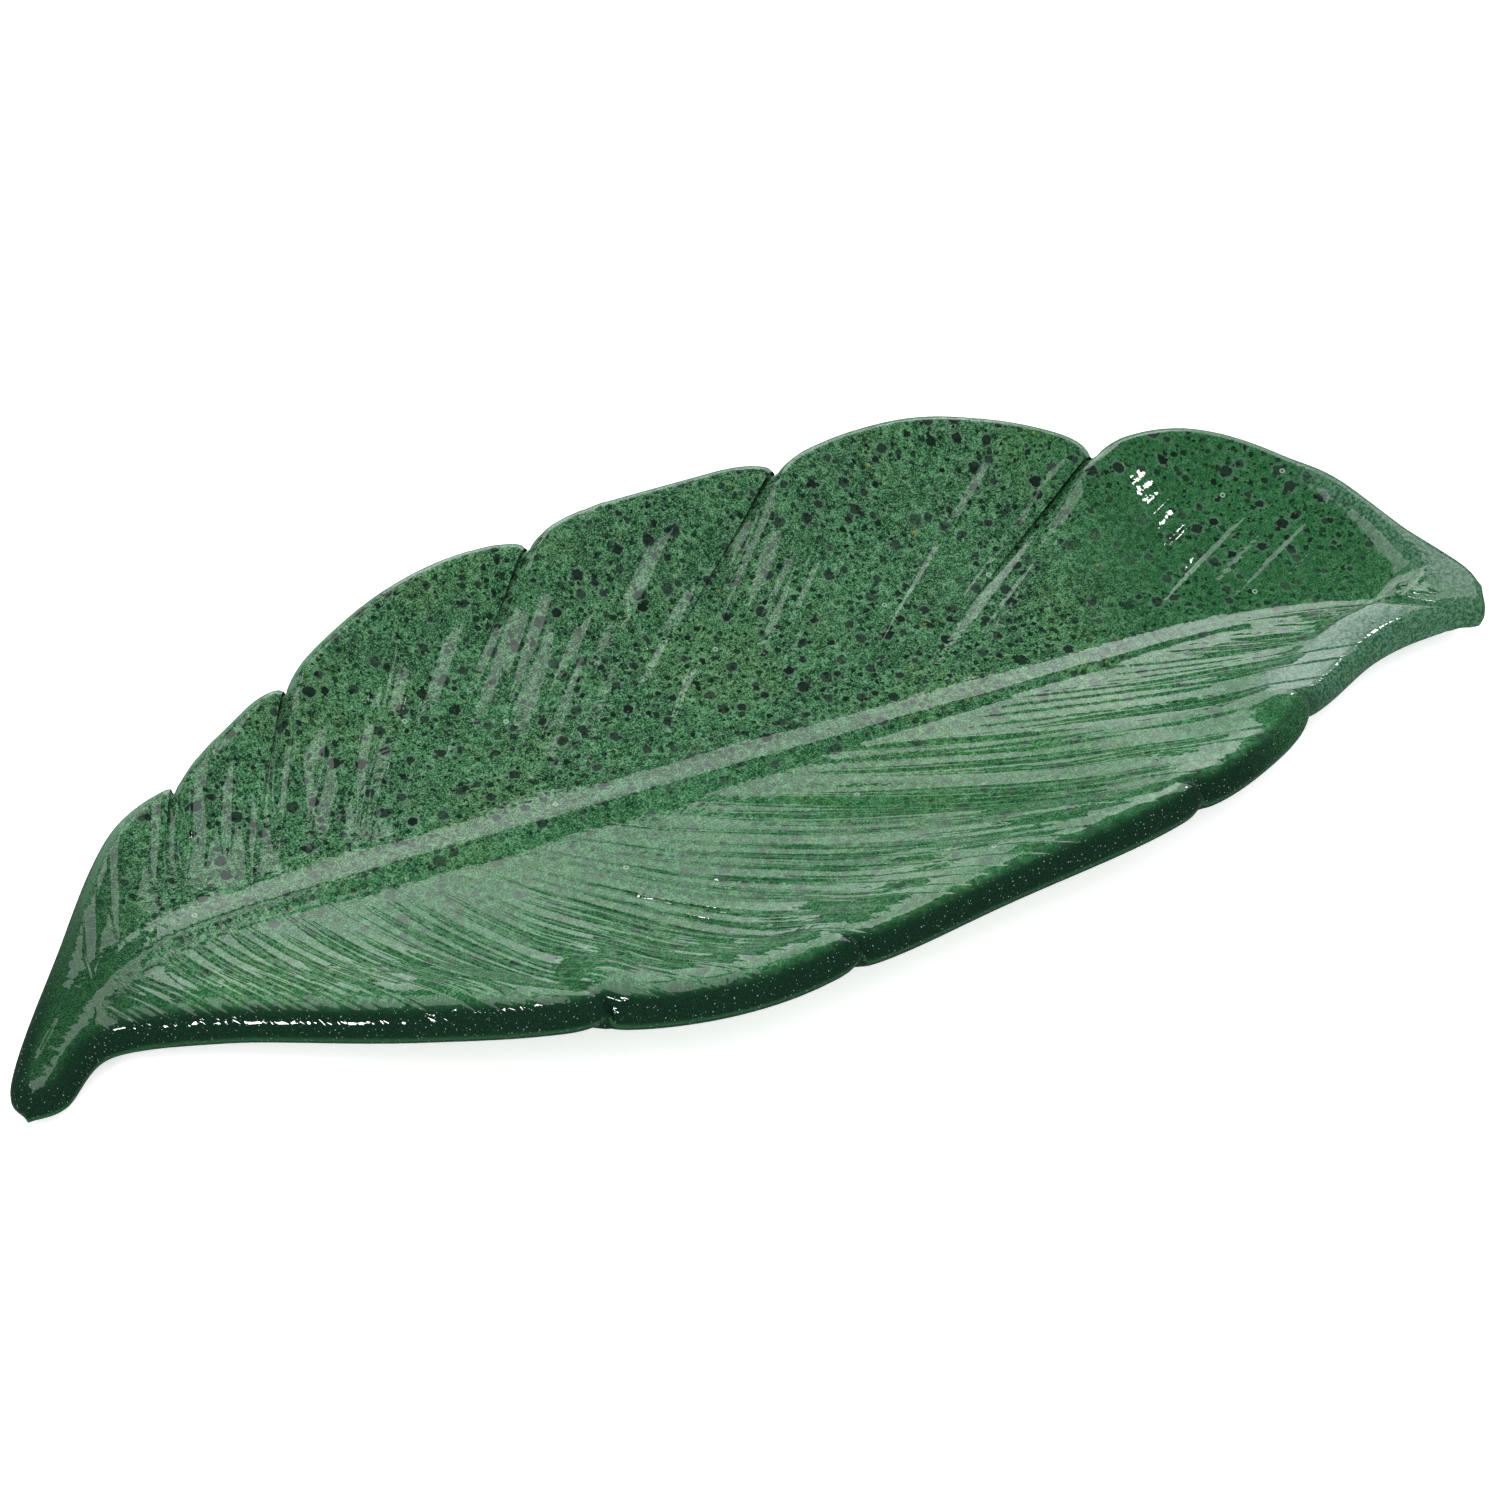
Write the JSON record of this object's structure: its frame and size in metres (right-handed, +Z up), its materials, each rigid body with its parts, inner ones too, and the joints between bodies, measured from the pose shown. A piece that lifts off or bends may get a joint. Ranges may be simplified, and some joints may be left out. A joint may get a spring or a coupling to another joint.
{
  "type": "leaf-shaped serving dish",
  "caption": "Shallow leaf-shaped ceramic dish with a raised midrib, overlapping lobes, a round rim and a solid bent stem, on a foot ring with stick-on pads.",
  "frame": {"origin": "centre of the bounding box in plan, on the table", "axes": "+X from the stem to the tip, +Y towards the wider back edge, +Z up"},
  "size_m": [0.4554, 0.1978, 0.0345],
  "materials": {
    "glaze": "glossy mottled green glaze with dark spots, bare clay under the foot ring",
    "pad": "matt grey rubber"
  },
  "bodies": {
    "root": {"leaf_body": "glaze", "pad_stem_back": "pad", "pad_stem_front": "pad", "pad_tip_back": "pad", "pad_tip_front": "pad"}
  },
  "joints": []
}
